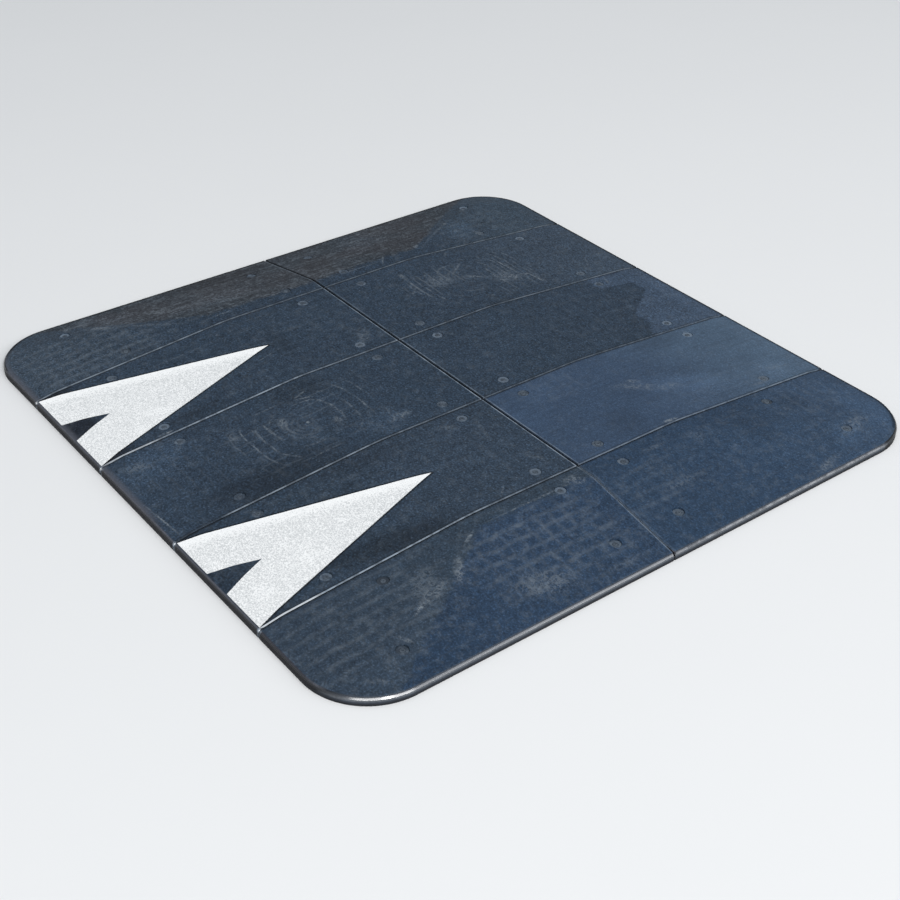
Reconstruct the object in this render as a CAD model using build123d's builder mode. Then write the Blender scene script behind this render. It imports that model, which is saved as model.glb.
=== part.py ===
from build123d import *
from math import atan, cos, hypot, pi, sin, tan
import os

# Modular rubber speed cushion, in millimetres.
# +X runs across the road, +Y the way the arrows point, +Z up.
# The origin is the middle of the underside, on the road surface.

# Overall form
cushion_width = 1829.0  # across the road
cushion_length = 1829.0  # along the direction of travel
cushion_height = 76.0
edge_height = 22.0  # upright rim all round
corner_radius = 173.0  # outline corners, seen from above
rim_bevel = 6.0  # bevel along the top of the upright rim, measured along its two faces

# Ramps
side_ramp_run = 288.5  # level distance from the outer edge up to the flat top
flat_top_length = 664.0  # flat top along the direction of travel
lip_height = 34.0  # where the steeper border gives way to the main ramp
flat_top_radius = 900.0  # easing between main ramp and flat top
crease_radius = 160.0  # easing between border ramp and top
cone_tip_radius = 4.0  # corner radius left where the border ramp has drawn in furthest

# Tiles and seams
centre_tile_pitch = 378.0  # width of the three inner rows, seam to seam
row_gap = 2.5  # between rows
middle_gap = 3.5  # between the front and rear halves
seam_bevel = 2.5  # bevelled upper edges along the seams

# Anchor holes and washers
anchor_hole_diameter = 14.0  # clears a 12 mm anchor bolt
washer_outer_diameter = 30.0
washer_thickness = 3.0
washer_side_clearance = 1.5
washer_cover = 1.0  # least depth of the washer below its recess rim
washer_sides = 8  # flats that stand for the round edge of a washer and its recess
inner_anchor_inset = 42.0  # from the seams of an inner tile
side_anchor_inset = 52.0  # from the seam of a side tile
outer_anchor_inset = 96.5  # from the cushion's side edge
anchor_from_middle = 102.0  # from the middle seam
anchor_from_end = 203.5  # from the leading and trailing edges
side_anchor_from_end = 293.5  # same, for the holes beside a side tile's seam

# Joining plates, let into the tile corners where four tiles meet
plate_width = 90.0  # square, seen from above
plate_thickness = 6.0
plate_height = 20.0  # middle of the plate above the road
plate_clearance = 0.3  # all round the plate

# Arrow inlays
arrow_length = 599.0
arrow_base_inset = 7.0  # from the leading edge
arrow_side_margin = 4.0  # from the tile's seam faces
arrow_notch_width = 89.0  # gap between the two feet of the arrow
arrow_notch_depth = 119.0
arrow_thickness = 3.0
arrow_proud = 0.4  # how far the inlay stands above the rubber
arrow_clearance = 0.25  # between the inlay and the walls of its pocket

# Working values
half_width = cushion_width / 2
half_length = cushion_length / 2
border_slope = (cushion_height - edge_height) / side_ramp_run
border_run = corner_radius - cone_tip_radius
border_rise = border_slope * border_run
lip_run = (lip_height - edge_height) / border_slope
ramp_slope = (cushion_height - lip_height) / (half_length - flat_top_length / 2 - lip_run)
inner_seam = centre_tile_pitch / 2
outer_seam = inner_seam + centre_tile_pitch
crease_room = abs(half_width - side_ramp_run - outer_seam) - row_gap / 2 - 2 * seam_bevel
eased_radius = min(crease_radius, crease_room / tan(atan(border_slope) / 2))
recess_radius = washer_outer_diameter / 2 + washer_side_clearance
arrow_base_width = centre_tile_pitch - row_gap - 2 * arrow_side_margin
overshoot = 60.0  # how far cutting shapes reach past the solid
touch = 0.01  # distance within which an edge counts as lying on a face
crease_reach = touch + flat_top_radius * (1 / cos(atan(ramp_slope) / 2) - 1)  # same, past the eased flat top

# Rows of tiles from left to right: limits in X, open past the cushion's sides
rows = {
    "left_edge": (-half_width - overshoot, -outer_seam - row_gap / 2),
    "left": (-outer_seam + row_gap / 2, -inner_seam - row_gap / 2),
    "centre": (-inner_seam + row_gap / 2, inner_seam - row_gap / 2),
    "right": (inner_seam + row_gap / 2, outer_seam - row_gap / 2),
    "right_edge": (outer_seam + row_gap / 2, half_width + overshoot),
}
halves = {"front": -1, "rear": 1}
arrow_rows = {"left": -centre_tile_pitch, "right": centre_tile_pitch}
plate_places = [(x, 0, plate_height) for x in (-outer_seam, -inner_seam, inner_seam, outer_seam)]


def border_height(x, y):
    """Height of the border ramp, which climbs at one slope from the rounded outline."""
    past_x = abs(x) - (half_width - corner_radius)
    past_y = abs(y) - (half_length - corner_radius)
    if past_x > 0 and past_y > 0:
        inset = corner_radius - hypot(past_x, past_y)
    else:
        inset = corner_radius - max(past_x, past_y)
    return edge_height + border_slope * inset


def ramp_height(y):
    """Height of the main ramp and the flat top."""
    inset = half_length - abs(y)
    return min(cushion_height, lip_height + ramp_slope * (inset - lip_run))


def washer_seat(x, y):
    """Height of a recess floor whose washer stays below the lowest point of the rim."""
    turns = [2 * pi * side / washer_sides for side in range(washer_sides)]
    rim = [(x + recess_radius * cos(turn), y + recess_radius * sin(turn)) for turn in turns]
    lowest = min(min(border_height(*point), ramp_height(point[1])) for point in rim)
    return lowest - washer_cover - washer_thickness


def is_crease(edge):
    """Whether an edge lies, all along, where the border ramp meets a main ramp or the flat top."""
    points = [edge.position_at(place) for place in (0, 0.5, 1)]
    off_border = max(abs(border_height(point.X, point.Y) - point.Z) for point in points)
    off_ramp = max(abs(ramp_height(point.Y) - point.Z) for point in points)
    return max(off_border, off_ramp) < crease_reach


def is_seam_face(face):
    """Whether a face is an upright one inside the cushion's outline."""
    middle = face.center()
    upright = abs(face.normal_at(middle).Z) < touch
    return upright and border_height(middle.X, middle.Y) > edge_height + touch


def is_upper(edge):
    """Whether an edge lies above the underside."""
    return edge.position_at(0.5).Z > touch


def anchor_places(row, way):
    """Plan positions of a tile's four anchor holes. way is -1 for the front half, 1 for the rear."""
    low, high = rows[row]
    near = way * anchor_from_middle
    far = way * (half_length - anchor_from_end)
    if row in ("left_edge", "right_edge"):
        out = 1 if low > 0 else -1
        seam_x = out * (outer_seam + side_anchor_inset)
        edge_x = out * (half_width - outer_anchor_inset)
        seam_far = way * (half_length - side_anchor_from_end)
        return [(seam_x, near), (seam_x, seam_far), (edge_x, near), (edge_x, far)]
    middle = (low + high) / 2
    reach = centre_tile_pitch / 2 - inner_anchor_inset
    return [(middle + side * reach, y) for side in (-1, 1) for y in (near, far)]


def write(part, name):
    """Label a finished piece and write it to its file."""
    part.label = name
    export_step(part, f"parts/{name}.step")


os.makedirs("parts", exist_ok=True)

# Whole moulded form, before it is divided into tiles
with BuildPart() as crown:
    # Upright rim and border ramp, carried round the outline
    with BuildSketch(mode=Mode.PRIVATE) as outline:
        RectangleRounded(cushion_width, cushion_length, corner_radius)
    path = outline.wire()
    inward = Vector(0, 0, 1).cross(path % 0)
    with BuildSketch(Plane(origin=path @ 0, x_dir=inward, z_dir=path % 0)) as section:
        with BuildLine():
            Polyline(
                (0, 0),
                (0, edge_height),
                (border_run, edge_height + border_rise),
                (border_run, 0),
                close=True,
            )
        make_face()
        chamfer(section.vertices().sort_by(Axis.X)[:2].sort_by(Axis.Y)[-1], length=rim_bevel)
    sweep(path=path)
    # Middle of the form, with the upper stretch of the two side ramps
    with BuildSketch(Plane.XZ):
        with BuildLine():
            low = edge_height + border_rise
            high = cushion_height + overshoot * border_slope
            low_x = half_width - border_run
            high_x = half_width - (high - edge_height) / border_slope
            Polyline(
                (-low_x, 0),
                (low_x, 0),
                (low_x, low),
                (high_x, high),
                (-high_x, high),
                (-low_x, low),
                close=True,
            )
        make_face()
    extrude(amount=half_length - border_run, both=True)
    # Main ramps and flat top, cut through from side to side
    with BuildSketch(Plane.YZ) as profile:
        with BuildLine():
            far = half_length + overshoot
            flat = flat_top_length / 2
            Polyline(
                (-flat, cushion_height),
                (-far, ramp_height(far)),
                (-far, -overshoot),
                (far, -overshoot),
                (far, ramp_height(far)),
                (flat, cushion_height),
                close=True,
            )
        make_face()
        fillet(profile.vertices().group_by(Axis.Y)[-1], radius=flat_top_radius)
    extrude(amount=half_width + overshoot, both=True, mode=Mode.INTERSECT)
    # Eased creases, made on the right half and mirrored to the left
    split(bisect_by=Plane.YZ)
    fillet(crown.edges().filter_by(is_crease), radius=eased_radius)
    mirror(about=Plane.YZ)


def arrow_outline(middle):
    """Notched arrow with its base at the leading edge and its tip towards +Y."""
    base = -half_length + arrow_base_inset
    with BuildSketch() as outline:
        with BuildLine():
            Polyline(
                (middle - arrow_base_width / 2, base),
                (middle - arrow_notch_width / 2, base),
                (middle, base + arrow_notch_depth),
                (middle + arrow_notch_width / 2, base),
                (middle + arrow_base_width / 2, base),
                (middle, base + arrow_length),
                close=True,
            )
        make_face()
    return outline.sketch


def arrow_pocket(middle):
    """Room for an inlay in its tile: clear of its sides, with a floor that follows the ramp."""
    with BuildPart() as pocket:
        with BuildSketch():
            add(arrow_outline(middle))
            offset(amount=arrow_clearance, kind=Kind.INTERSECTION, mode=Mode.REPLACE)
        extrude(amount=cushion_height + overshoot)
        with Locations((0, 0, arrow_proud - arrow_thickness)):
            add(crown.part, mode=Mode.SUBTRACT)
    return pocket.part


def arrow_inlay(name, middle):
    """White inlay of even thickness that follows the ramp, a little proud of the rubber."""
    with BuildPart() as inlay:
        with BuildSketch():
            add(arrow_outline(middle))
        extrude(amount=cushion_height + overshoot)
        with Locations((0, 0, arrow_proud)):
            add(crown.part, mode=Mode.INTERSECT)
        with Locations((0, 0, arrow_proud - arrow_thickness)):
            add(crown.part, mode=Mode.SUBTRACT)
    write(inlay.part, name)


def rubber_tile(name, row, way):
    """One moulded tile: its share of the crown, with bevelled seams, anchor holes and plate slots."""
    low, high = rows[row]
    depth = half_length + overshoot - middle_gap / 2
    slot_width = plate_width + 2 * plate_clearance
    slot_thickness = plate_thickness + 2 * plate_clearance
    pocket = arrow_pocket(arrow_rows[row]) if way < 0 and row in arrow_rows else None
    with BuildPart() as tile:
        add(crown.part)
        with BuildSketch():
            with Locations(((low + high) / 2, way * (depth + middle_gap) / 2)):
                Rectangle(high - low, depth)
        extrude(amount=cushion_height + overshoot, mode=Mode.INTERSECT)
        seam_edges = tile.faces().filter_by(is_seam_face).edges().filter_by(Axis.Z, reverse=True)
        chamfer(seam_edges.filter_by(is_upper), length=seam_bevel)
        if pocket:
            add(pocket, mode=Mode.SUBTRACT)
        with Locations(*plate_places):
            Box(slot_width, slot_width, slot_thickness, mode=Mode.SUBTRACT)
        for x, y in anchor_places(row, way):
            with BuildSketch(Plane((x, y, washer_seat(x, y)))):
                RegularPolygon(recess_radius, washer_sides)
            extrude(amount=cushion_height, mode=Mode.SUBTRACT)
            with Locations((x, y, cushion_height)):
                Hole(anchor_hole_diameter / 2)
    write(tile.part, name)


def washer_group(name, row, way):
    """The four flat washers of one tile, each on its recess floor."""
    with BuildPart() as washers:
        for x, y in anchor_places(row, way):
            with BuildSketch(Plane((x, y, washer_seat(x, y)))):
                RegularPolygon(washer_outer_diameter / 2, washer_sides)
                RegularPolygon(anchor_hole_diameter / 2, washer_sides, major_radius=False, mode=Mode.SUBTRACT)
            extrude(amount=washer_thickness)
    write(washers.part, name)


for row in rows:
    for half, way in halves.items():
        rubber_tile(f"{row}_{half}_tile", row, way)
        washer_group(f"{row}_{half}_washers", row, way)

for row, middle in arrow_rows.items():
    arrow_inlay(f"{row}_arrow", middle)

with BuildPart() as plates:
    with Locations(*plate_places):
        Box(plate_width, plate_width, plate_thickness)
write(plates.part, "joining_plates")
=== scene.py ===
import math
from collections import namedtuple
from dataclasses import dataclass

import bmesh
import bpy
from mathutils import Matrix, Vector


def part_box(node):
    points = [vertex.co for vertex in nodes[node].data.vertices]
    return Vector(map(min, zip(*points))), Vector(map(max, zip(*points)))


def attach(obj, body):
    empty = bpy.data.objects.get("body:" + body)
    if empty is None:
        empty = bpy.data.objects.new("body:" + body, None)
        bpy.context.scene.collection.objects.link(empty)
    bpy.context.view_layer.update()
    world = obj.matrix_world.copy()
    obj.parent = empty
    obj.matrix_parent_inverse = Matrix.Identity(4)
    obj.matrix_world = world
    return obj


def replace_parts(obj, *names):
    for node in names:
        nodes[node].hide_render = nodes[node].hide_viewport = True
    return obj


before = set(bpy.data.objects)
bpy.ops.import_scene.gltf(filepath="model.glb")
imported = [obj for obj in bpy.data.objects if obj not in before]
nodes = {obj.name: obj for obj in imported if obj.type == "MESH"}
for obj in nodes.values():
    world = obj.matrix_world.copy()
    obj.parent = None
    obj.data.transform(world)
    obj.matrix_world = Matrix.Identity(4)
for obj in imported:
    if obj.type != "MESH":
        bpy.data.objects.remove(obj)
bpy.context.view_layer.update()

scene = bpy.context.scene

# Colours, as linear light
RUBBER = (0.0235, 0.0400, 0.0645)
# painted reflection and shade on the side ramps: duller and darker on the left, bluer on the right
LEFT_RAMP_REFLECTION = (0.0246, 0.0332, 0.0452)
LEFT_RAMP_REFLECTION_BROWN = (0.0292, 0.0326, 0.0414)
RIGHT_RAMP_REFLECTION = (0.0195, 0.0395, 0.0750)
RIGHT_RAMP_REFLECTION_END = (0.0158, 0.0330, 0.0630)
HIP_GREY = (0.0255, 0.0412, 0.0645)
BLOOM = (0.0410, 0.0655, 0.1055)
DUST = (0.175, 0.204, 0.235)
# worn seam edges with painted highlight, worn chips, and painted light on gap walls at the right
WORN_AND_LIT = (0.275, 0.330, 0.395)
# white painted highlight on seam edges beside the arrows
ARROW_SIDE_HIGHLIGHT = (0.560, 0.590, 0.620)
RIM_SIDE = (0.034, 0.042, 0.056)
# painted highlight: the lighter band on the rim's right side
RIM_HIGHLIGHT = (0.098, 0.108, 0.124)
# painted shade at the rim's foot and on its sides that face away from the right
RIM_SHADE = (0.013, 0.015, 0.019)
# painted shade on the rim's front face
RIM_FRONT_SHADE = (0.006, 0.006, 0.009)
RIM_EDGE = (0.080, 0.086, 0.106)
RIM_EDGE_SIDE = (0.036, 0.038, 0.050)
# painted shade inside the seams' gaps
GAP_SHADE = (0.007, 0.008, 0.011)
ARROW_WHITE = (0.920, 0.928, 0.930)
ARROW_GREY = (0.625, 0.642, 0.650)
WASHER_GREY = (0.088, 0.116, 0.153)
WASHER_DARK = (0.031, 0.046, 0.068)
BOLT_GREY = (0.074, 0.096, 0.124)
BOLT_DARK = (0.042, 0.057, 0.078)
STEEL = (0.300, 0.310, 0.320)
STEEL_DARK = (0.160, 0.165, 0.170)
FLOOR = (0.800, 0.805, 0.810)
FLOOR_SHADE = (0.780, 0.785, 0.790)

# Places, in metres
MM = 0.001
WAFFLE = 36 * MM  # pitch of the ribs under the tiles, which show through as faint lines
WAFFLE_X = 13 * MM  # where the ribs start, across
WAFFLE_Y = 1 * MM  # and along
RAMP_REFLECTION_X = 615 * MM  # edge of the painted reflection and shade on the side ramp, beside the flat top
RAMP_REFLECTION_Y = 355 * MM  # where that edge starts to run outwards
RAMP_REFLECTION_RUN = 0.69  # how fast it does
BLOOM_Y = 690 * MM  # front of the pale bloom on the centre rear tile
ARROW_TIP = -308.5 * MM
ARROW_LENGTH = 599 * MM
ARROW_HALF = 183.75 * MM  # half the width of its base
ARROW_SLANT = math.hypot(ARROW_HALF, ARROW_LENGTH)
ARROWS = {"left_arrow": -378 * MM, "right_arrow": 378 * MM}

# Bands for Graph.band, in mm: nothing at the first number, all at the second.
# Along a tile's seams, as distances from its faces there:
MIDDLE_LIT_WEAR = (6.4, 4.4)  # worn band with painted highlight at the middle seam
MIDDLE_CREST = (1.4, 3.0)  # which leaves the bevel out
# painted shade on the middle seam's bevel
MIDDLE_BEVEL_SHADE = (3.4, 2.0)
LEFT_LIT_WEAR = (3.6, 2.0)
RIGHT_LIT_WEAR = (3.2, 1.6)
ROW_SEAM_SHADE = (8.5, 4.5)  # painted shade along the row seams
IN_GAP = (6.0, 3.0)  # walls of the gap
ARROW_SIDE_HIGHLIGHT_WIDTH = (3.6, 2.0)  # white painted highlight on the seam edge beside an arrow
ARROW_SHADE = (7.0, 4.2)  # painted shade round an arrow
# From the tile's middle, along:
LIT_WEAR_FADE = (-150, -500)  # wear and painted highlight of the front tiles' right edges grow towards the front
LIT_WEAR_STOP = (-790, -755)
ARROW_SIDE_HIGHLIGHT_START = (-735, -775)
NOTCH = (-780, -860)
# Up the rim, as heights:
LIP = (26.2, 23.2)  # lighter lip above the rim
# painted shade on the back and left rims reaches up to here
SHADED_BACK_EDGE = (25.5, 23.6)
RIM = (23.2, 21.8)
BEVEL = (17.8, 20.8)
POLISH = (20.8, 18.8)
HIGHLIGHT_TOP = (18.5, 16.0)  # the painted highlight band on the rim's side ends here
HIGHLIGHT_FOOT = (9.5, 13.0)  # and starts here
# painted shade at the rim's foot, below these heights
FOOT = (10.0, 4.0)

# Ranges of the upward part of a face's direction
CREST = (0.25, 0.55)
WALL = (0.60, 0.35)

# A dusty mark or a tone zone: an oval with half sizes in mm, turned by an angle in degrees
Mark = namedtuple("Mark", "x y length width angle strength")
# A field of ribs: half sizes in mm, strength of the lines along and across
Ribs = namedtuple("Ribs", "x y width length columns rows fine", defaults=(False,))


@dataclass
class Look:
    """What one tile looks like."""

    tint: tuple  # colour of its flat top
    end: tuple  # and of its outer end
    dust: float  # strength of the cloudy dust
    edges: tuple  # wear and painted highlight at its left, right and middle seams
    ribs: list  # where ribs show through
    marks: list  # dusty scuffs
    zones: tuple = ()  # lighter and darker places
    ramp_reflection: tuple = None  # two tones of painted reflection and shade on its side ramp
    calm: float = 1.0  # share of the usual mottling
    rib_shift: float = 0.0  # of the ribs' start along the tile, in mm
    rings: tuple = None  # mould rings: place in mm and strength
    notch: float = 0.0  # grey of the rubber in the arrow's notch
    arrow_side_highlight: float = 0.0  # strength of a white painted highlight on the right seam's edge beside the arrow
    bloom: bool = False  # pale bloom at the outer end
    short_lit_wear: bool = False  # seam wear and its painted highlight stop short of the outer end
    patchy_rim: bool = False  # the rim's polish comes and goes


class Graph:
    """One node material, put together a node at a time."""

    def __init__(self, name):
        self.material = bpy.data.materials.new(name)
        self.material.use_nodes = True
        self.tree = self.material.node_tree
        self.tree.nodes.clear()
        self.point = self.node("ShaderNodeTexCoord").outputs["Object"]
        self.normal = self.node("ShaderNodeNewGeometry").outputs["Normal"]

    def node(self, kind, **settings):
        made = self.tree.nodes.new(kind)
        for key, value in settings.items():
            setattr(made, key, value)
        return made

    def put(self, socket, value):
        if isinstance(value, bpy.types.NodeSocket):
            self.tree.links.new(value, socket)
        elif isinstance(value, tuple) and len(socket.default_value) == 4:
            socket.default_value = (*value, 1.0)
        else:
            socket.default_value = value

    def math(self, operation, first, second=0.0, third=0.0):
        made = self.node("ShaderNodeMath", operation=operation)
        for socket, value in zip(made.inputs, (first, second, third)):
            self.put(socket, value)
        return made.outputs[0]

    def chain(self, operation, values):
        total = values[0]
        for value in values[1:]:
            total = self.math(operation, total, value)
        return total

    def add(self, *values):
        return self.chain("ADD", values)

    def less(self, first, second):
        return self.math("SUBTRACT", first, second)

    def times(self, *values):
        return self.chain("MULTIPLY", values)

    def most(self, *values):
        return self.chain("MAXIMUM", values)

    def size(self, value):
        return self.math("ABSOLUTE", value)

    def scale(self, value, factor, offset):
        """The value times a factor, plus an offset."""
        return self.math("MULTIPLY_ADD", value, factor, offset)

    def fade(self, value, least):
        """Least where the value is 0, and 1 where it is 1."""
        return self.scale(value, 1.0 - least, least)

    def swing(self, value, amount, middle=0.0):
        """A noise turned into a number around middle, by about amount each way."""
        return self.scale(value, 2.0 * amount, middle - amount)

    def step(self, value, low, high):
        """0 at low, 1 at high, smooth in between; low may be above high."""
        made = self.node("ShaderNodeMapRange", interpolation_type="SMOOTHSTEP")
        for socket, item in zip(made.inputs, (value, low, high, 0.0, 1.0)):
            self.put(socket, item)
        return made.outputs[0]

    def band(self, value, limits):
        """A step between two limits in millimetres."""
        return self.step(value, limits[0] * MM, limits[1] * MM)

    def ridge(self, value, pitch, width):
        """1 on lines a pitch apart, falling to 0 a width away."""
        return self.step(self.math("PINGPONG", value, pitch / 2), width, width * 0.2)

    def axes(self, vector):
        made = self.node("ShaderNodeSeparateXYZ")
        self.put(made.inputs[0], vector)
        return made.outputs

    def noise(self, scale, detail=3.0, roughness=0.5, stretch=(1.0, 1.0, 1.0), shift=0.0):
        made = self.node("ShaderNodeTexNoise")
        place = self.node("ShaderNodeMapping")
        self.put(place.inputs["Vector"], self.point)
        place.inputs["Scale"].default_value = stretch
        place.inputs["Location"].default_value = (shift, shift * 0.7, shift * 0.3)
        self.put(made.inputs["Vector"], place.outputs[0])
        made.inputs["Scale"].default_value = scale
        made.inputs["Detail"].default_value = detail
        made.inputs["Roughness"].default_value = roughness
        return made.outputs["Fac"]

    def spot(self, mark):
        """The mark's strength in the middle of its oval, 0 outside."""
        place = self.node("ShaderNodeMapping", vector_type="TEXTURE")
        self.put(place.inputs["Vector"], self.point)
        place.inputs["Location"].default_value = (mark.x * MM, mark.y * MM, 0.0)
        place.inputs["Rotation"].default_value = (0.0, 0.0, math.radians(mark.angle))
        place.inputs["Scale"].default_value = (mark.length * MM, mark.width * MM, 10.0)
        far = self.node("ShaderNodeVectorMath", operation="LENGTH")
        self.put(far.inputs[0], place.outputs[0])
        return self.times(self.step(far.outputs["Value"], 1.0, 0.25), mark.strength)

    def mix(self, factor, first, second):
        made = self.node("ShaderNodeMix", data_type="RGBA", clamp_factor=True)
        for index, value in ((0, factor), (6, first), (7, second)):
            self.put(made.inputs[index], value)
        return made.outputs[2]

    def shade(self, colour, factor):
        """A colour made lighter or darker by a plain number."""
        made = self.node("ShaderNodeVectorMath", operation="SCALE")
        self.put(made.inputs[0], colour)
        self.put(made.inputs["Scale"], factor)
        return made.outputs[0]

    def darken(self, colour, where, share):
        """A colour that loses a share of its light where a mask is 1."""
        return self.shade(colour, self.scale(where, -share, 1.0))

    def finish(self, colour, roughness, height=None, depth=0.0, coat=None, **constants):
        shader = self.node("ShaderNodeBsdfPrincipled")
        if coat is not None:
            self.put(shader.inputs["Coat Weight"], coat)
        self.put(shader.inputs["Base Color"], colour)
        self.put(shader.inputs["Roughness"], roughness)
        for key, value in constants.items():
            shader.inputs[key.replace("_", " ")].default_value = value
        if height is not None:
            bump = self.node("ShaderNodeBump")
            bump.inputs["Distance"].default_value = depth
            bump.inputs["Strength"].default_value = 1.0
            self.put(bump.inputs["Height"], height)
            self.put(shader.inputs["Normal"], bump.outputs[0])
        output = self.node("ShaderNodeOutputMaterial")
        self.tree.links.new(shader.outputs[0], output.inputs["Surface"])
        return self.material


class TileGraph(Graph):
    """Material of one tile, with the places and the noises that its layers share."""

    def __init__(self, name, look, seed):
        super().__init__(f"rubber_{name}")
        self.look, self.seed = look, seed
        self.row, half, _ = name.rsplit("_", 2)
        self.front = half == "front"
        self.at_right = self.row == "right_edge"
        self.low, self.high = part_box(name)
        self.x, self.y, self.z = self.axes(self.point)
        self.nx, self.ny, self.nz = self.axes(self.normal)
        self.cloud = self.noise(5.0, 5.0, 0.55, shift=seed)
        self.haze = self.noise(34.0, 6.0, 0.78, shift=seed + 7.0)
        self.blotch = self.noise(38.0, 4.0, 0.6, shift=seed + 3.0)
        self.rag = self.noise(120.0, 4.0, 0.65, shift=seed + 5.0)
        self.grain = self.noise(200.0, 2.0, 0.7, shift=seed)
        self.streak = self.noise(1.0, 3.0, 0.6, stretch=(95.0, 6.0, 20.0), shift=seed)
        self.drift = self.swing(self.noise(14.0, 2.0, shift=seed + 9.0), 10 * MM)
        self.long = self.step(self.noise(11.0, 3.0, shift=seed + 11.0), 0.38, 0.56)
        self.worn = self.step(self.blotch, 0.38, 0.60)
        self.ragged = self.step(self.rag, 0.40, 0.62)


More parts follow.
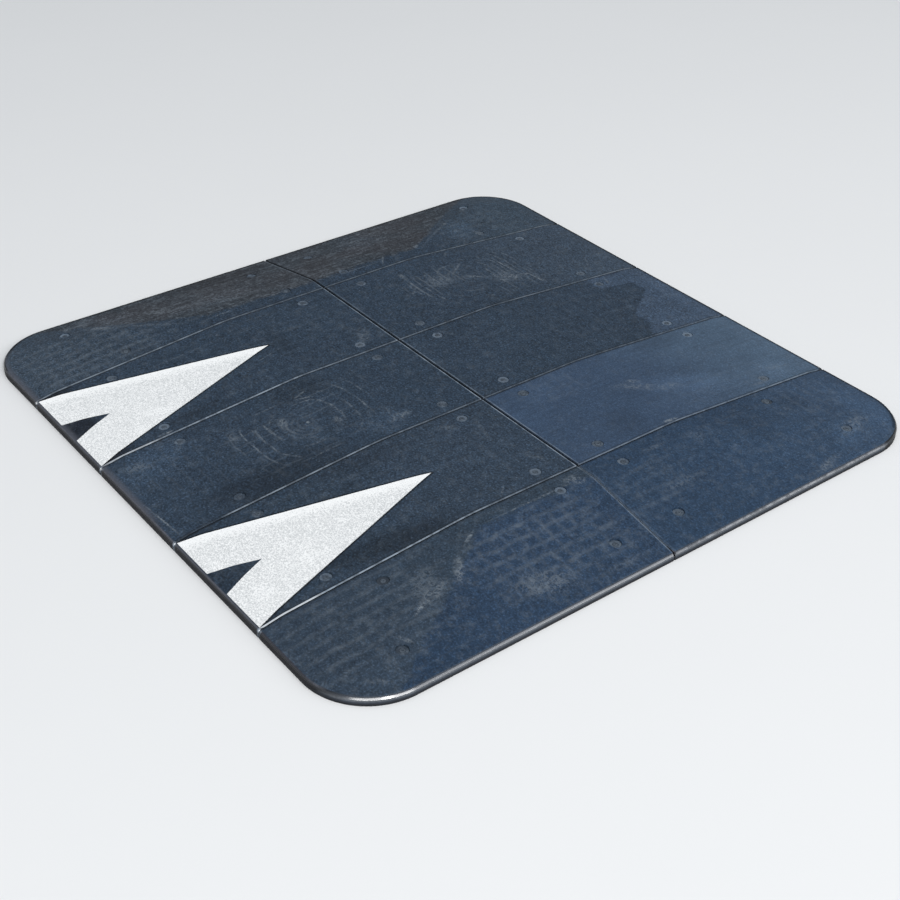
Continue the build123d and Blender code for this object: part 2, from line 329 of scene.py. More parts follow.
# The ten tiles, from left to right
LOOKS = {
    "left_edge_front_tile": Look(
        tint=RUBBER, end=(0.0360, 0.0546, 0.0800), ramp_reflection=(LEFT_RAMP_REFLECTION, LEFT_RAMP_REFLECTION_BROWN), dust=0.22,
        edges=(0.0, 0.44, 0.35),
        ribs=[Ribs(-690, -700, 120, 190, 0.30, 0.20), Ribs(-760, -250, 130, 240, 0.14, 0.06)],
        marks=[
            Mark(-765, -440, 60, 24, 60, 0.55), Mark(-780, -615, 70, 16, 50, 0.7),
            Mark(-850, -690, 26, 14, 0, 0.7), Mark(-730, -330, 90, 26, 80, 0.25),
            Mark(-800, -300, 60, 14, 85, 0.25), Mark(-608, -330, 60, 4, 90, 0.7),
            Mark(-690, -500, 130, 9, 52, 0.3), Mark(-640, -30, 40, 14, 0, 0.2),
        ],
        zones=[
            Mark(-830, -590, 150, 80, 55, 0.40), Mark(-710, -320, 190, 60, 90, 0.28),
            Mark(-860, -180, 260, 70, 90, -0.28),
        ],
    ),
    "left_edge_rear_tile": Look(
        tint=RUBBER, end=(0.0334, 0.0527, 0.0770), ramp_reflection=(LEFT_RAMP_REFLECTION, LEFT_RAMP_REFLECTION_BROWN), dust=0.22,
        edges=(0.0, 0.24, 0.08),
        ribs=[Ribs(-680, 640, 110, 150, 0.14, 0.10), Ribs(-740, 90, 120, 80, 0.16, 0.06)],
        marks=[
            Mark(-800, 690, 28, 12, -45, 0.5), Mark(-730, 565, 18, 9, -60, 0.6),
            Mark(-630, 380, 20, 9, -50, 0.6), Mark(-610, 240, 38, 5, -35, 0.6),
            Mark(-690, 500, 140, 7, -57, 0.35), Mark(-607, 150, 120, 4, 90, 0.4),
        ],
        zones=[
            Mark(-820, 285, 120, 110, 0, 0.36), Mark(-730, 80, 110, 80, 0, -0.16),
            Mark(-670, 575, 90, 70, -50, 0.40),
        ],
    ),
    "left_front_tile": Look(
        tint=RUBBER, end=RUBBER, dust=0.18, edges=(0.06, 0.72, 0.62), notch=0.75, arrow_side_highlight=0.36,
        ribs=[Ribs(-380, -420, 190, 400, 0.06, 0.03)],
        marks=[
            Mark(-270, -65, 60, 28, -30, 0.4), Mark(-330, -350, 98, 3, -75, 0.35),
            Mark(-495, -530, 110, 4, 90, 0.25), Mark(-515, -390, 9, 7, 0, 0.6),
            Mark(-236, -92, 16, 10, 40, 0.5), Mark(-530, -250, 60, 4, 85, 0.2),
            Mark(-200, -725, 30, 9, 90, 1.0),
        ],
        zones=[Mark(-365, -280, 90, 50, 0, -0.20), Mark(-225, -620, 130, 40, 90, -0.25)],
    ),
    "left_rear_tile": Look(
        tint=RUBBER, end=(0.0365, 0.0560, 0.0840), dust=0.20, edges=(0.04, 0.26, 0.30), rib_shift=3,
        rings=(-380, 400, 0.52),
        ribs=[
            Ribs(-395, 290, 80, 110, 0.08, 0.26, True), Ribs(-320, 500, 90, 110, 0.06, 0.20, True),
            Ribs(-380, 430, 170, 330, 0.06, 0.04),
        ],
        marks=[
            Mark(-275, 570, 48, 6, 5, 0.8), Mark(-312, 557, 20, 7, 60, 0.8),
            Mark(-385, 538, 90, 5, 3, 0.8), Mark(-310, 480, 50, 34, 60, 0.55),
            Mark(-365, 468, 48, 5, -5, 0.7), Mark(-365, 415, 44, 8, 55, 0.7),
            Mark(-442, 395, 54, 6, -52, 0.5), Mark(-400, 300, 60, 50, 90, 0.5),
            Mark(-415, 220, 100, 5, 0, 0.6), Mark(-392, 200, 28, 5, -48, 0.9),
            Mark(-485, 225, 34, 12, 0, 0.45), Mark(-240, 375, 16, 6, -60, 0.6),
            Mark(-540, 425, 24, 6, -40, 0.4), Mark(-318, 865, 24, 6, -65, 0.4),
            Mark(-270, 775, 64, 6, -30, 0.35), Mark(-540, 745, 28, 9, -50, 0.4),
            Mark(-475, 567, 16, 10, 0, 0.4), Mark(-325, 509, 60, 34, 20, 0.7),
        ],
    ),
    "centre_front_tile": Look(
        tint=RUBBER, end=(0.0245, 0.0410, 0.0660), dust=0.17, edges=(0.06, 0.58, 0.78),
        rib_shift=-15, rings=(3, -423, 0.72), short_lit_wear=True,
        ribs=[
            Ribs(0, -450, 145, 190, 0.12, 0.06, True), Ribs(-30, -760, 120, 120, 0.0, 0.06, True),
        ],
        marks=[
            Mark(128, -225, 55, 22, 100, 0.55), Mark(3, -423, 8, 6, 0, 1.6),
            Mark(50, -358, 30, 16, 0, 0.5), Mark(-35, -475, 40, 18, 160, 0.55),
            Mark(-35, -517, 36, 5, 0, 0.9), Mark(-40, -550, 32, 4, 0, 0.7),
            Mark(-95, -372, 34, 5, 70, 0.6), Mark(-116, -372, 34, 5, 108, 0.6),
            Mark(-120, -845, 50, 24, 60, 0.4), Mark(-70, -600, 40, 16, 0, 0.4),
            Mark(97, -894, 95, 4, 4, 0.8), Mark(135, -465, 95, 4, 90, 0.4),
            Mark(-115, -475, 65, 4, 90, 0.35), Mark(-150, -720, 26, 12, 30, 0.3),
        ],
        zones=[
            Mark(145, -600, 280, 95, 90, -0.38), Mark(-110, -790, 150, 110, 90, 0.34),
            Mark(-135, -365, 130, 75, 90, -0.32), Mark(125, -265, 90, 75, 90, 0.26),
            Mark(75, -710, 60, 40, 0, -0.15),
        ],
    ),
    "centre_rear_tile": Look(
        tint=RUBBER, end=RUBBER, dust=0.16, edges=(0.04, 0.18, 0.42), bloom=True,
        ribs=[Ribs(0, 450, 190, 430, 0.04, 0.05)],
        marks=[
            Mark(-150, 745, 34, 6, -20, 0.35), Mark(150, 790, 30, 9, 70, 0.25),
            Mark(-140, 130, 40, 12, 30, 0.2),
        ],
        zones=[Mark(10, 868, 190, 45, 0, 0.20), Mark(-189, 790, 70, 30, 90, -0.30)],
    ),
    "right_front_tile": Look(
        tint=(0.0259, 0.0424, 0.0670), end=(0.0220, 0.0380, 0.0610), dust=0.18,
        edges=(0.05, 0.80, 0.72), notch=0.25, arrow_side_highlight=0.66,
        ribs=[Ribs(380, -420, 190, 400, 0.05, 0.04)],
        marks=[
            Mark(538, -215, 38, 4, -45, 0.5), Mark(243, -160, 40, 16, 60, 0.3),
            Mark(300, -90, 60, 10, -15, 0.25), Mark(470, -60, 50, 18, 20, 0.25),
            Mark(215, -720, 24, 9, 60, 0.4),
        ],
        zones=[Mark(530, -520, 280, 60, 80, -0.45), Mark(230, -420, 160, 40, 90, -0.20)],
    ),
    "right_rear_tile": Look(
        tint=(0.0355, 0.0612, 0.1070), end=(0.0645, 0.1035, 0.1575), dust=0.10,
        edges=(0.05, 0.36, 0.42), calm=0.50,
        ribs=[Ribs(250, 200, 70, 90, 0.10, 0.12), Ribs(490, 600, 60, 200, 0.08, 0.05)],
        marks=[
            Mark(395, 390, 120, 24, 57, 0.42), Mark(423, 465, 34, 18, 50, 0.55),
            Mark(356, 382, 26, 14, 60, 0.55), Mark(498, 795, 55, 22, 80, 0.25),
            Mark(540, 690, 60, 8, 88, 0.3), Mark(228, 718, 26, 10, 20, 0.4),
            Mark(556, 325, 34, 9, 84, 0.9),
        ],
        zones=[
            Mark(440, 505, 170, 80, 62, 0.27), Mark(505, 770, 90, 65, 0, 0.22),
            Mark(225, 590, 150, 50, 90, -0.17), Mark(490, 225, 90, 80, 0, -0.16),
            Mark(255, 130, 90, 70, 0, 0.16),
        ],
    ),
    "right_edge_front_tile": Look(
        tint=(0.0259, 0.0424, 0.0650), end=HIP_GREY, ramp_reflection=(RIGHT_RAMP_REFLECTION, RIGHT_RAMP_REFLECTION_END), dust=0.24,
        edges=(0.04, 0.0, 0.34), calm=0.70,
        ribs=[
            Ribs(745, -255, 115, 190, 0.30, 0.18), Ribs(845, -640, 60, 130, 0.05, 0.0, True),
            Ribs(690, -720, 130, 180, 0.24, 0.05), Ribs(860, -150, 50, 120, 0.12, 0.07),
        ],
        marks=[
            Mark(613, -180, 180, 5, 90, 0.55), Mark(632, -390, 34, 7, -60, 0.9),
            Mark(700, -470, 60, 18, -35, 0.6), Mark(725, -560, 75, 30, -70, 0.5),
            Mark(745, -610, 36, 9, -62, 0.9), Mark(690, -560, 80, 50, -40, 0.3),
            Mark(830, -320, 110, 55, 75, 0.35), Mark(800, -690, 26, 8, 30, 0.5),
            Mark(880, -120, 90, 16, 90, 0.2), Mark(860, -800, 40, 9, 55, 0.3),
            Mark(608, -47, 42, 26, 60, 0.6),
        ],
    ),
    "right_edge_rear_tile": Look(
        tint=(0.0208, 0.0422, 0.0785), end=(0.0325, 0.0590, 0.1030), dust=0.20,
        edges=(0.04, 0.0, 0.10), calm=0.62, patchy_rim=True,
        ribs=[
            Ribs(715, 115, 80, 100, 0.16, 0.06), Ribs(660, 740, 80, 100, 0.03, 0.16),
            Ribs(750, 450, 140, 300, 0.06, 0.05),
        ],
        marks=[
            Mark(815, 745, 85, 30, 100, 0.40), Mark(890, 560, 80, 16, 100, 0.40),
            Mark(750, 190, 115, 16, 90, 0.25), Mark(620, 200, 60, 10, 90, 0.30),
            Mark(640, 330, 40, 22, 60, 0.2),
        ],
        zones=[
            Mark(645, 680, 70, 60, 0, -0.20), Mark(760, 835, 180, 70, 0, 0.22),
            Mark(830, 690, 70, 60, 0, 0.18), Mark(715, 505, 80, 60, 0, -0.12),
        ],
    ),
}


def tone(g):
    """Colour of a tile, towards its outer end and with painted reflection and shade on its side ramp, and
    where that ramp tone lies.
    """
    look = g.look
    along = g.size(g.y)
    colour = g.mix(g.step(g.add(along, g.swing(g.cloud, 0.1)), 0.33, 0.86), look.tint, look.end)
    if look.bloom:
        front = g.add(
            g.times(g.band(g.x, (-120, -102)), 121 * MM), g.times(g.band(g.x, (-62, 78)), -146 * MM),
            g.times(g.band(g.x, (120, 190)), -42 * MM), g.swing(g.blotch, 18 * MM, BLOOM_Y),
        )
        colour = g.mix(g.band(g.less(g.y, front), (-7, 7)), colour, BLOOM)
    if look.notch:
        colour = g.mix(g.times(g.band(g.y, NOTCH), look.notch), colour, RIM_FRONT_SHADE)
    if not look.ramp_reflection:
        return colour, None
    # where the painted reflection and shade on the side ramp lies
    run = g.times(g.most(g.less(along, RAMP_REFLECTION_Y), 0.0), -RAMP_REFLECTION_RUN)
    edge = g.add(g.size(g.x), run, g.swing(g.cloud, 30 * MM), g.swing(g.blotch, 20 * MM, -RAMP_REFLECTION_X))
    ramp_reflected = g.band(edge, (-7, 12))
    turned = g.step(along, 0.42, 0.62) if g.at_right else g.step(g.cloud, 0.40, 0.60)
    return g.mix(ramp_reflected, colour, g.mix(turned, *look.ramp_reflection)), ramp_reflected


def mottle(g, colour, ramp_reflected):
    """Mottling, a thin cloudy dust, and lighter and darker places."""
    look = g.look
    uneven = (0.70 + 1.2 * look.dust) * look.calm
    flecks = g.step(g.grain, 0.50, 0.74)
    colour = g.shade(colour, g.add(
        g.swing(g.cloud, 0.20, 1.0), g.swing(g.blotch, 0.28 * uneven),
        g.swing(g.rag, 0.72 * uneven), g.swing(g.grain, uneven), g.swing(g.streak, 0.20),
        g.scale(flecks, 0.9 * uneven, -0.10 * uneven),
    ))
    veil = g.times(g.step(g.haze, 0.47, 0.74), look.dust)
    if ramp_reflected is not None and not g.at_right:
        brushed = g.step(g.add(g.times(g.rag, 0.6), g.times(g.streak, 0.4)), 0.46, 0.62)
        veil = g.add(veil, g.times(ramp_reflected, brushed, g.scale(g.worn, 0.34, 0.09)))
    colour = g.mix(veil, colour, DUST)
    if look.zones:
        colour = g.shade(colour, g.add(1.0, *[g.spot(zone) for zone in look.zones]))
    return colour


def rib_lines(g):
    """Faint lines where the ribs under a tile show through."""
    start_y = WAFFLE_Y + g.look.rib_shift * MM
    rib_x = g.add(g.x, g.drift, g.swing(g.rag, 2 * MM, -WAFFLE_X))
    rib_y = g.add(g.y, g.drift, g.swing(g.rag, 2 * MM, -start_y))
    faint = []
    for ribs in g.look.ribs:
        from_x, from_y = g.size(g.add(g.x, -ribs.x * MM)), g.size(g.add(g.y, -ribs.y * MM))
        inside = g.times(
            g.band(from_x, (ribs.width * 1.2, ribs.width * 0.7)),
            g.band(from_y, (ribs.length * 1.2, ribs.length * 0.7)),
        )
        breadth = (4.2 if ribs.fine else 10.0) * MM
        lines = [
            g.times(g.ridge(rib, WAFFLE, breadth), strength)
            for rib, strength in ((rib_x, ribs.columns), (rib_y, ribs.rows)) if strength
        ]
        broken = g.long if ribs.fine else g.times(g.worn, g.haze)
        faint.append(g.times(inside, g.most(*lines), g.scale(broken, 0.9, 0.2)))
    return g.most(*faint)


def rings(g):
    """Faint rings that the mould left in the middle of a tile, and flatter arcs towards its ends."""
    x, y, strength = g.look.rings
    across, along = g.size(g.less(g.x, x * MM)), g.less(g.y, y * MM)
    shake = g.add(g.times(g.drift, 0.8), g.swing(g.rag, 5 * MM))
    far = g.add(g.math("SQRT", g.add(g.times(across, across), g.times(along, along))), shake)
    inner = g.times(
        g.ridge(far, 13.5 * MM, 6.0 * MM), g.band(far, (100, 50)), g.band(along, (50, -50)),
        g.fade(g.times(g.worn, g.long), 0.2), 0.55,
    )
    cubes = [g.math("POWER", side, 3.0) for side in (across, g.size(along))]
    flat = g.add(g.math("POWER", g.add(*cubes), 1.0 / 3.0), shake, -20 * MM)
    outer = g.times(
        g.ridge(flat, 35 * MM, 4.0 * MM), g.band(flat, (30, 60)), g.band(flat, (230, 140)),
        g.fade(g.band(across, (125, 75)), 0.1), g.fade(g.worn, 0.25), g.fade(g.long, 0.15),
        g.fade(g.step(g.rag, 0.40, 0.60), 0.25),
    )
    return g.times(g.most(inner, outer), strength)


def scuffs(g):
    """Dusty scuffs with scratches in them, mould rings and specks."""
    dusty = g.most(*[g.spot(mark) for mark in g.look.marks])
    fine = g.noise(44.0, 3.0, 0.6, shift=g.seed + 13.0)
    scratch = g.step(g.size(g.add(fine, -0.5)), 0.050, 0.014)
    dusty = g.times(dusty, g.most(g.scale(g.ragged, 0.40, 0.05), scratch))
    if g.look.rings:
        dusty = g.most(dusty, rings(g))
    specks = g.times(g.step(g.grain, 0.66, 0.78), g.step(g.cloud, 0.45, 0.65), 0.35)
    return g.most(dusty, specks)


def arrow_edge(g, centre):
    """1 beside the two long edges of an arrow inlay, 0 away from them."""
    out = g.add(
        g.times(g.size(g.add(g.x, -centre)), ARROW_LENGTH / ARROW_SLANT),
        g.times(g.add(g.y, -ARROW_TIP), ARROW_HALF / ARROW_SLANT),
    )
    before_tip = g.step(g.y, ARROW_TIP + 9 * MM, ARROW_TIP + 3 * MM)
    return g.times(g.band(g.size(out), ARROW_SHADE), before_tip)


def seams(g, colour):
    """Worn edges with painted highlight along the seams, painted shade beside them and in the gaps; at the
    right, the middle gap's walls painted light.
    """
    left, right, middle = g.look.edges
    from_left, from_right = g.less(g.x, g.low.x), g.less(g.high.x, g.x)
    from_middle = g.less(g.high.y, g.y) if g.front else g.less(g.y, g.low.y)
    beside = [from_left] if g.row != "left_edge" else []
    if not g.at_right:
        beside.append(from_right)

    # Painted shade beside the row seams and in the gaps
    # painted shade on the tops beside the row seams
    row_seam_shade = g.most(*[g.band(far, ROW_SEAM_SHADE) for far in beside])
    colour = g.darken(colour, row_seam_shade, 0.40)
    wall = g.step(g.nz, *WALL)
    in_rows = g.times(wall, g.most(*[g.band(far, IN_GAP) for far in beside]))
    colour = g.mix(in_rows, colour, GAP_SHADE)
    in_middle = g.times(wall, g.band(from_middle, IN_GAP))
    if g.at_right:
        # painted light on the walls of the middle seam's gap, so the gap does not show dark
        colour = g.mix(g.times(in_middle, 0.62), colour, WORN_AND_LIT)
    else:
        # painted shade on the middle seam's bevel and in its gap
        colour = g.darken(colour, g.band(from_middle, MIDDLE_BEVEL_SHADE), 0.55)
        colour = g.mix(in_middle, colour, GAP_SHADE)

    # Worn edges with painted highlight
    edges = [g.times(g.band(from_middle, MIDDLE_LIT_WEAR), middle)]
    if not g.at_right:
        edges[0] = g.times(edges[0], g.band(from_middle, MIDDLE_CREST))
    if left:
        edges.append(g.times(g.band(from_left, LEFT_LIT_WEAR), left))
    if right:
        edges.append(g.times(g.band(from_right, RIGHT_LIT_WEAR), right))
        if g.front:
            edges[-1] = g.times(edges[-1], g.fade(g.band(g.y, LIT_WEAR_FADE), 0.45))
    crest = g.step(g.nz, *CREST)
    # worn edges with painted highlight on their upward faces
    edge = g.times(g.most(*edges), crest, g.fade(g.worn, 0.4))
    if g.look.short_lit_wear:
        edge = g.times(edge, g.band(g.y, LIT_WEAR_STOP))
    colour = g.mix(edge, colour, WORN_AND_LIT)
    # white painted highlight on the right seam's edge beside the arrow's foot
    if g.look.arrow_side_highlight:
        along = g.band(g.add(g.y, g.drift), ARROW_SIDE_HIGHLIGHT_START)
        arrow_side_highlight = g.times(g.band(from_right, ARROW_SIDE_HIGHLIGHT_WIDTH), along, crest, g.look.arrow_side_highlight)
        colour = g.mix(arrow_side_highlight, colour, ARROW_SIDE_HIGHLIGHT)
    return colour


def rim(g, colour):
    """Rim in rubber tone with a painted highlight band on its right side, and painted shade at its foot,
    on its back and left sides and on its front face under a lighter edge.

    Also gives where the rim is, and where its bevel is polished.
    """
    if g.front and not g.at_right:
        lip = g.times(g.band(g.z, LIP), g.step(g.ny, -0.10, -0.16), g.band(g.x, (140, 30)), 0.7)
        colour = g.mix(lip, colour, RIM_EDGE)
    edge = RIM_EDGE
    if g.at_right:
        edge = g.mix(g.band(g.x, (740, 800)), RIM_EDGE_SIDE, RIM_EDGE)
    # the front face: painted shade under a lighter bevel
    facing = g.mix(g.band(g.z, BEVEL), RIM_FRONT_SHADE, edge)
    # painted highlight: a lighter band up the rim's right side
    lighter = g.times(g.band(g.z, HIGHLIGHT_TOP), g.band(g.z, HIGHLIGHT_FOOT))
    side = g.mix(lighter, RIM_SIDE, RIM_HIGHLIGHT)
    # painted shade on the rim where it faces away from the right
    side = g.mix(g.step(g.nx, 0.20, 0.60), RIM_SHADE, side)
    at_front = g.times(g.step(g.ny, -0.3, -0.6), g.step(g.nx, 0.35, 0.15))
    upright = g.mix(at_front, side, facing)
    # painted shade at the rim's foot
    upright = g.mix(g.band(g.z, FOOT), upright, RIM_SHADE)
    upright = g.shade(upright, g.add(g.swing(g.blotch, 0.45, 1.0), g.swing(g.grain, 0.45)))
    on_rim = g.band(g.z, RIM)
    colour = g.mix(on_rim, colour, upright)
    # painted shade along the back and left rims
    shaded_back = g.most(g.step(g.nx, -0.05, -0.15), g.step(g.ny, 0.05, 0.15))
    colour = g.darken(colour, g.times(shaded_back, g.band(g.z, SHADED_BACK_EDGE)), 0.8)
    if g.front:
        ends = [g.low.x] if g.row != "left_edge" else []
        if not g.at_right:
            ends.append(g.high.x)
        chips = g.most(*[g.spot(Mark(end / MM, -911, 9, 6, 0, 0.9)) for end in ends])
        colour = g.mix(g.times(chips, g.ragged), colour, WORN_AND_LIT)
    polish = g.times(g.band(g.z, POLISH), g.step(g.nz, 0.20, 0.45))
    if g.look.patchy_rim:
        polish = g.times(polish, g.fade(g.worn, 0.4))
    return colour, on_rim, polish


def rubber(name, look, seed):
    """Moulded rubber of one tile, in the tile's own tone, with its dust, scuffs and worn edges, and
    painted highlight, reflection and shade on its seams, ramps and rim.
    """
    g = TileGraph(name, look, seed)
    colour, ramp_reflected = tone(g)
    colour = mottle(g, colour, ramp_reflected)
    ribbed = rib_lines(g)
    colour = g.mix(ribbed, colour, DUST)
    colour = g.mix(scuffs(g), colour, DUST)
    arrow = f"{g.row}_arrow"
    if g.front and arrow in ARROWS:
        # painted shade along the arrow's long edges
        colour = g.darken(colour, arrow_edge(g, ARROWS[arrow]), 0.65)
    colour = seams(g, colour)
    colour, on_rim, polish = rim(g, colour)
    relief = g.add(
        g.times(g.grain, 0.35), g.times(g.rag, 0.4), g.times(g.blotch, 0.5), g.times(g.streak, 0.2),
        g.times(ribbed, 0.3),
    )
    relief = g.times(relief, g.scale(on_rim, -0.7, 1.0))
    return g.finish(
        colour, g.swing(g.blotch, 0.10, 0.64), relief, 0.6 * MM, polish,
        Specular_IOR_Level=0.2, Coat_Roughness=0.22, Coat_IOR=1.8,
    )


def white_inlay(name, centre):
    """White anti-skid inlay: pale grey crumb with white flecks, packed whiter along its left edge."""
    g = Graph(f"white_{name}")
    x, y, _ = g.axes(g.point)
    grain = g.noise(290.0, 2.0, 0.7)
    crumb = g.noise(150.0, 3.0, 0.7, shift=2.0)
    cloud = g.noise(12.0, 4.0, 0.6)
    inside = g.add(
        g.times(g.add(x, -centre), ARROW_LENGTH / ARROW_SLANT),
        g.times(g.add(y, -ARROW_TIP), -ARROW_HALF / ARROW_SLANT),
    )
    clouded = g.times(g.step(cloud, 0.50, 0.75), 0.5)
    packed = g.most(g.band(inside, (45, 2)), clouded, g.band(y, (-420, -310)))
    fleck = g.add(g.times(grain, 0.65), g.times(crumb, 0.35), g.times(packed, 0.13))
    colour = g.mix(g.step(fleck, 0.42, 0.60), ARROW_GREY, ARROW_WHITE)
    colour = g.shade(colour, g.swing(grain, 0.10, 0.97 if centre > 0 else 1.0))
    return g.finish(colour, 0.65, g.add(grain, crumb), 0.5 * MM, Specular_IOR_Level=0.2)


def metal(name, light, dark, scale, rough, level, wear=()):
    """Dull steel, dusty and stained; wear lists marks that are cleaner, or dirtier where below 0."""
    g = Graph(name)
    patch = g.noise(4.0, 2.0, 0.5, shift=1.0)
    stain = g.noise(scale, 4.0, 0.65)
    grain = g.noise(scale * 9.0, 2.0, 0.6)
    dirt = g.add(g.times(stain, 0.45), g.times(patch, 0.55))
    bright = 1.0
    if wear:
        cleaner = g.add(*[g.spot(mark) for mark in wear])
        dirt = g.add(dirt, g.times(cleaner, -0.06))
        bright = g.scale(cleaner, 0.22, 1.0)
    colour = g.mix(g.step(dirt, 0.43, 0.56), light, dark)
    colour = g.shade(colour, g.times(g.swing(grain, 0.25, 1.0), bright))
    return g.finish(colour, g.scale(stain, 0.3, rough), grain, 0.3 * MM, Metallic=level)


def paint(piece, material):
    piece.data.materials.clear()
    piece.data.materials.append(material)


# Rubber tiles: the CAD solids, shaded smooth across their creases, with their bevels split off flat
SEED_STEP = 1.7  # sets the tiles' noises apart
for index, (name, look) in enumerate(LOOKS.items()):
    tile = nodes[name]
    paint(tile, rubber(name, look, index * SEED_STEP))
    tile.modifiers.new("weld", "WELD").merge_threshold = 0.01 * MM
    tile.modifiers.new("crisp", "EDGE_SPLIT").split_angle = math.radians(30)
    for polygon in tile.data.polygons:
        polygon.use_smooth = True
    tile.modifiers.new("shading", "WEIGHTED_NORMAL").keep_sharp = True

for name, centre in ARROWS.items():
    paint(nodes[name], white_inlay(name, centre))
paint(nodes["joining_plates"], metal("plate_steel", STEEL, STEEL_DARK, 40.0, 0.4, 0.8))

# Anchors: a round washer and a low bolt head in each recess, and the recess's rounded lip.
# Their profiles are radii and heights in mm; a radius below 0 is half the width of a hexagon.
SIDES = 48
WASHER = [
    (7.0, 0.4), (7.4, 0.0), (14.5, 0.0), (15.0, 0.5), (15.0, 2.4), (14.4, 3.0), (7.6, 3.0), (7.0, 2.5),
]
BOLT = [(6.7, 1.2), (6.7, 3.0), (6.3, 3.7), (5.2, 4.1), (3.7, 4.2), (-2.9, 4.1), (-2.7, 2.6)]
LIP_RING = [
    (18.0, -0.5), (17.5, 0.15), (16.8, 0.40), (16.1, 0.25), (15.6, -0.5), (15.5, -3.0), (17.2, -3.0),
]
SLOPE_NEAR = 18.5 * MM  # where the tile's slope beside a recess is read
SLOPE_FAR = 22.5 * MM

# How much cleaner than the rest a washer is, or dirtier where below 0, by its place in mm
CLEANER = {
    (147, 102): 1.0, (-147, 102): 1.2, (147, 711): 1.9, (231, 711): 2.2, (525, -711): 0.6,
    (525, -102): 0.6, (-525, -102): 1.0, (-231, -711): 1.0, (-147, -711): 0.8, (-231, -102): 0.7,
    (-818, -711): 2.0, (-818, 711): 2.0, (-525, 711): 1.2, (-147, 711): 0.9, (619, 102): 0.8,
    (619, -102): 1.2, (231, -102): 0.7, (-619, 102): 0.9, (-525, 102): 0.9, (-231, 711): 0.7,
    (-147, -102): 0.4, (818, -102): 0.3, (818, 711): 0.3, (147, -711): 0.4, (-619, -621): -1.5,
    (619, -621): -1.5, (619, 621): -1.3, (-619, -102): -1.0, (-619, 621): -0.7, (818, -711): -0.6,
    (525, 102): -0.4, (231, 102): -0.4,
}
CLEAN_REACH = 60  # mm round a washer


def turn(shape, profile, centre, level, closed):
    """Turns a profile round an upright line; level(angle, reach) is the height it starts from."""
    loops = []
    for radius, height in profile:
        loop = []
        for index in range(SIDES):
            angle = 2 * math.pi * index / SIDES
            reach = abs(radius) * MM
            if radius < 0:
                reach /= math.cos((angle + math.pi / 6) % (math.pi / 3) - math.pi / 6)
            spot = (centre.x + reach * math.cos(angle), centre.y + reach * math.sin(angle))
            loop.append(shape.verts.new((*spot, level(angle, reach) + height * MM)))
        loops.append(loop)
    pairs = list(zip(loops, loops[1:])) + ([(loops[-1], loops[0])] if closed else [])
    for first, second in pairs:
        for index in range(SIDES):
            after = (index + 1) % SIDES
            shape.faces.new((first[index], first[after], second[after], second[index]))
    if not closed:
        shape.faces.new(loops[0][::-1])
        shape.faces.new(loops[-1])


def recess_floor(place):
    """Level for turn: the floor that the washer lies on."""
    return lambda angle, reach: place.z


def tile_top(tile, place):
    """Level for turn: the tile's top round a recess, carried on over the hole at its slope."""
    def level(angle, reach):
        near, far = [
            crown(tile, place.x + out * math.cos(angle), place.y + out * math.sin(angle))
            for out in (SLOPE_NEAR, SLOPE_FAR)
        ]
        return near + (near - far) / (SLOPE_FAR - SLOPE_NEAR) * (SLOPE_NEAR - reach)
    return level


def crown(tile, x, y):
    """Height of a tile's top above a place."""
    return tile.ray_cast(Vector((x, y, 1.0)), Vector((0.0, 0.0, -1.0)))[1].z


def washer_places(node):
    """Middle and lowest height of each of a node's four washers."""
    low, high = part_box(node)
    middle = (low + high) / 2
    corners = {}
    for vertex in nodes[node].data.vertices:
        spot = vertex.co
        corners.setdefault((spot.x > middle.x, spot.y > middle.y), []).append(spot)
    places = []
    for key in sorted(corners):
        spots = corners[key]
        lows = [min(spot[axis] for spot in spots) for axis in range(3)]
        highs = [max(spot[axis] for spot in spots) for axis in range(3)]
        places.append(Vector(((lows[0] + highs[0]) / 2, (lows[1] + highs[1]) / 2, lows[2])))
    return places


def piece(name, shape, material, slot):
    """Makes a named piece of the root body from a finished shape."""
    bmesh.ops.recalc_face_normals(shape, faces=shape.faces)
    mesh = bpy.data.meshes.new(name)
    shape.to_mesh(mesh)
    shape.free()
    made = bpy.data.objects.new(name, mesh)
    scene.collection.objects.link(made)
    paint(made, material)
    for polygon in mesh.polygons:
        polygon.use_smooth = True
    mesh.set_sharp_from_angle(angle=math.radians(35))
    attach(made, "root")
    return made


wear = [Mark(x, y, CLEAN_REACH, CLEAN_REACH, 0, share) for (x, y), share in CLEANER.items()]
washer = metal("washer_steel", WASHER_GREY, WASHER_DARK, 90.0, 0.55, 0.1, wear)
bolt = metal("bolt_steel", BOLT_GREY, BOLT_DARK, 120.0, 0.55, 0.1)
for name in LOOKS:
    node = name.replace("_tile", "_washers")
    tile = nodes[name]
    washers, bolts, lips = bmesh.new(), bmesh.new(), bmesh.new()
    for place in washer_places(node):
        turn(washers, WASHER, place, recess_floor(place), True)
        turn(bolts, BOLT, place, recess_floor(place), False)
        turn(lips, LIP_RING, place, tile_top(tile, place), True)
    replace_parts(piece(node.replace("_washers", "_round_washers"), washers, washer, "washer_steel"), node)
    piece(node.replace("_washers", "_bolt_heads"), bolts, bolt, "washer_steel")
    piece(node.replace("_washers", "_recess_lips"), lips, tile.data.materials[0], "rubber")

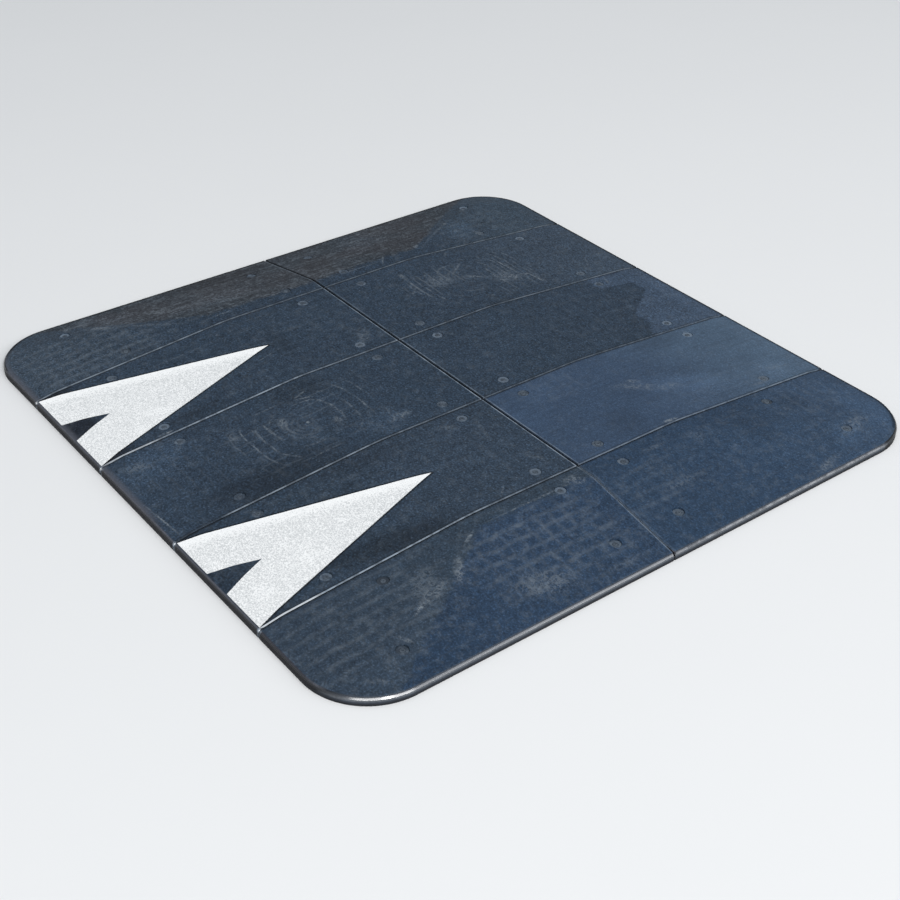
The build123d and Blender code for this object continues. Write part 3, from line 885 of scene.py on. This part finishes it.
# Floor
bpy.ops.mesh.primitive_plane_add(size=60.0, location=(0.0, 0.0, -0.5 * MM))
floor = bpy.context.object
floor.name = "floor"
ground = Graph("floor_pale")
pale = ground.mix(ground.noise(0.5), FLOOR, FLOOR_SHADE)
pale = ground.shade(pale, ground.swing(ground.noise(2.0), 0.01, 1.0))
paint(floor, ground.finish(pale, 0.8))


# Light: a key lamp, a long strip and a side box from the right, a wide box overhead, and the room
def softbox(name, place, size, watts, colour, lie=(0.0, 1.0, 0.0)):
    """A square or oblong lamp that faces the origin, its length along lie."""
    light = bpy.data.lights.new(name, "AREA")
    light.shape = "RECTANGLE"
    light.size, light.size_y = size
    light.energy = watts
    light.color = colour
    lamp = bpy.data.objects.new(name, light)
    away = Vector(place).normalized()
    side = away.cross(Vector(lie)).normalized()
    lamp.location = place
    lamp.rotation_euler = Matrix((side.cross(away), side, away)).transposed().to_euler()
    scene.collection.objects.link(lamp)


ROOM = (0.90, 0.95, 1.0)
FRONT_LIE = (0.347, 0.95, -0.075)
SIDE_LIE = (0.50, -0.82, 0.29)
softbox("key", (16.0, -3.8, 11.4), (2.0, 2.0), 750.0, (1.0, 0.99, 0.97))
softbox("front", (14.0, -4.4, 10.6), (25.0, 3.2), 2900.0, (1.0, 0.99, 0.98), FRONT_LIE)
softbox("side", (12.6, 10.6, 7.2), (8.0, 4.0), 330.0, (0.97, 0.98, 1.0), SIDE_LIE)
softbox("overhead", (0.0, 0.0, 20.0), (14.0, 14.0), 760.0, ROOM)
world = bpy.data.worlds.new("room")
scene.world = world
world.use_nodes = True
background = world.node_tree.nodes["Background"]
background.inputs["Strength"].default_value = 0.34
background.inputs["Color"].default_value = (*ROOM, 1.0)

# Camera at the photograph's viewpoint
camera = bpy.data.cameras.new("camera")
camera.sensor_width = 36.0
camera.lens = 59.396411
camera.shift_x = -0.024182
camera.clip_end = 100.0
view = bpy.data.objects.new("camera", camera)
view.location = (2.742858, -2.061388, 2.168644)
view.rotation_euler = [math.radians(angle) for angle in (55.476579, -0.888344, 52.168334)]
scene.collection.objects.link(view)
scene.camera = view

scene.view_settings.view_transform = "Standard"
